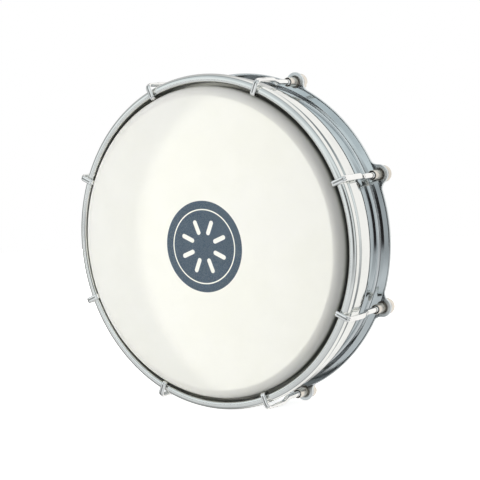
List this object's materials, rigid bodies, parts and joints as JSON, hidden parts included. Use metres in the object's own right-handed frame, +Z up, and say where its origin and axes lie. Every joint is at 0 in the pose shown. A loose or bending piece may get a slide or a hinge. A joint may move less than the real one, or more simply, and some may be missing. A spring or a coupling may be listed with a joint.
{
  "type": "tamborim",
  "caption": "Small steel frame drum with a white plastic head, a pressed counter-hoop, bent tension hooks and sleeve nuts set in the ears of a rear flange.",
  "frame": {"origin": "on the drum's axis, in the middle of its depth from the head's face to the nuts' rear faces", "axes": "+Y along the drum's axis from the head to the open back, +Z up as the drum stands, +X to the right seen from the head"},
  "size_m": [0.162, 0.042, 0.162],
  "materials": {
    "shell_chrome": "polished chrome plate on drawn steel",
    "hoop_chrome": "polished chrome plate on pressed steel",
    "head_plastic": "satin white film with a slate blue print",
    "flesh_hoop_aluminium": "mill finish",
    "hook_chrome": "chrome plate on bent steel",
    "nut_nickel": "nickel plate, satin",
    "washer_steel": "zinc plate, satin"
  },
  "bodies": {
    "shell": {"drum_shell": "shell_chrome", "nut_washer_1": "washer_steel", "nut_washer_2": "washer_steel", "nut_washer_3": "washer_steel", "nut_washer_4": "washer_steel", "nut_washer_5": "washer_steel", "nut_washer_6": "washer_steel", "nut_washer_7": "washer_steel", "nut_washer_8": "washer_steel"},
    "rim": {"counter_hoop": "hoop_chrome", "flesh_hoop": "flesh_hoop_aluminium", "head_film": "head_plastic"},
    "hook_1": {"tension_hook_1": "hook_chrome"},
    "nut_1": {"tuning_nut_1": "nut_nickel"},
    "hook_2": {"tension_hook_2": "hook_chrome"},
    "nut_2": {"tuning_nut_2": "nut_nickel"},
    "hook_3": {"tension_hook_3": "hook_chrome"},
    "nut_3": {"tuning_nut_3": "nut_nickel"},
    "hook_4": {"tension_hook_4": "hook_chrome"},
    "nut_4": {"tuning_nut_4": "nut_nickel"},
    "hook_5": {"tension_hook_5": "hook_chrome"},
    "nut_5": {"tuning_nut_5": "nut_nickel"},
    "hook_6": {"tension_hook_6": "hook_chrome"},
    "nut_6": {"tuning_nut_6": "nut_nickel"},
    "hook_7": {"tension_hook_7": "hook_chrome"},
    "nut_7": {"tuning_nut_7": "nut_nickel"},
    "hook_8": {"tension_hook_8": "hook_chrome"},
    "nut_8": {"tuning_nut_8": "nut_nickel"}
  },
  "joints": [
    {"name": "hoop_draw", "type": "slide", "parent": "shell", "child": "rim", "axis": [0, -1, 0], "range_m": [0, 0.002]},
    {"name": "nut_1_turn", "type": "hinge", "parent": "shell", "child": "nut_1", "pos_m": [0.03132, 0, 0.07562], "axis": [0, 1, 0], "range_deg": [0, 3600]},
    {"name": "hook_1_slide", "type": "slide", "parent": "rim", "child": "hook_1", "axis": [0, -1, 0], "range_m": [0, 0.005]},
    {"name": "nut_2_turn", "type": "hinge", "parent": "shell", "child": "nut_2", "pos_m": [0.07562, 0, 0.03132], "axis": [0, 1, 0], "range_deg": [0, 3600]},
    {"name": "hook_2_slide", "type": "slide", "parent": "rim", "child": "hook_2", "axis": [0, -1, 0], "range_m": [0, 0.005]},
    {"name": "nut_3_turn", "type": "hinge", "parent": "shell", "child": "nut_3", "pos_m": [0.07562, 0, -0.03132], "axis": [0, 1, 0], "range_deg": [0, 3600]},
    {"name": "hook_3_slide", "type": "slide", "parent": "rim", "child": "hook_3", "axis": [0, -1, 0], "range_m": [0, 0.005]},
    {"name": "nut_4_turn", "type": "hinge", "parent": "shell", "child": "nut_4", "pos_m": [0.03132, 0, -0.07562], "axis": [0, 1, 0], "range_deg": [0, 3600]},
    {"name": "hook_4_slide", "type": "slide", "parent": "rim", "child": "hook_4", "axis": [0, -1, 0], "range_m": [0, 0.005]},
    {"name": "nut_5_turn", "type": "hinge", "parent": "shell", "child": "nut_5", "pos_m": [-0.03132, 0, -0.07562], "axis": [0, 1, 0], "range_deg": [0, 3600]},
    {"name": "hook_5_slide", "type": "slide", "parent": "rim", "child": "hook_5", "axis": [0, -1, 0], "range_m": [0, 0.005]},
    {"name": "nut_6_turn", "type": "hinge", "parent": "shell", "child": "nut_6", "pos_m": [-0.07562, 0, -0.03132], "axis": [0, 1, 0], "range_deg": [0, 3600]},
    {"name": "hook_6_slide", "type": "slide", "parent": "rim", "child": "hook_6", "axis": [0, -1, 0], "range_m": [0, 0.005]},
    {"name": "nut_7_turn", "type": "hinge", "parent": "shell", "child": "nut_7", "pos_m": [-0.07562, 0, 0.03132], "axis": [0, 1, 0], "range_deg": [0, 3600]},
    {"name": "hook_7_slide", "type": "slide", "parent": "rim", "child": "hook_7", "axis": [0, -1, 0], "range_m": [0, 0.005]},
    {"name": "nut_8_turn", "type": "hinge", "parent": "shell", "child": "nut_8", "pos_m": [-0.03132, 0, 0.07562], "axis": [0, 1, 0], "range_deg": [0, 3600]},
    {"name": "hook_8_slide", "type": "slide", "parent": "rim", "child": "hook_8", "axis": [0, -1, 0], "range_m": [0, 0.005]}
  ],
  "couplings": [
    {"joint": "nut_1_turn", "follows": "hook_1_slide", "rad_per_m": 12566},
    {"joint": "nut_2_turn", "follows": "hook_2_slide", "rad_per_m": 12566},
    {"joint": "nut_3_turn", "follows": "hook_3_slide", "rad_per_m": 12566},
    {"joint": "nut_4_turn", "follows": "hook_4_slide", "rad_per_m": 12566},
    {"joint": "nut_5_turn", "follows": "hook_5_slide", "rad_per_m": 12566},
    {"joint": "nut_6_turn", "follows": "hook_6_slide", "rad_per_m": 12566},
    {"joint": "nut_7_turn", "follows": "hook_7_slide", "rad_per_m": 12566},
    {"joint": "nut_8_turn", "follows": "hook_8_slide", "rad_per_m": 12566}
  ]
}
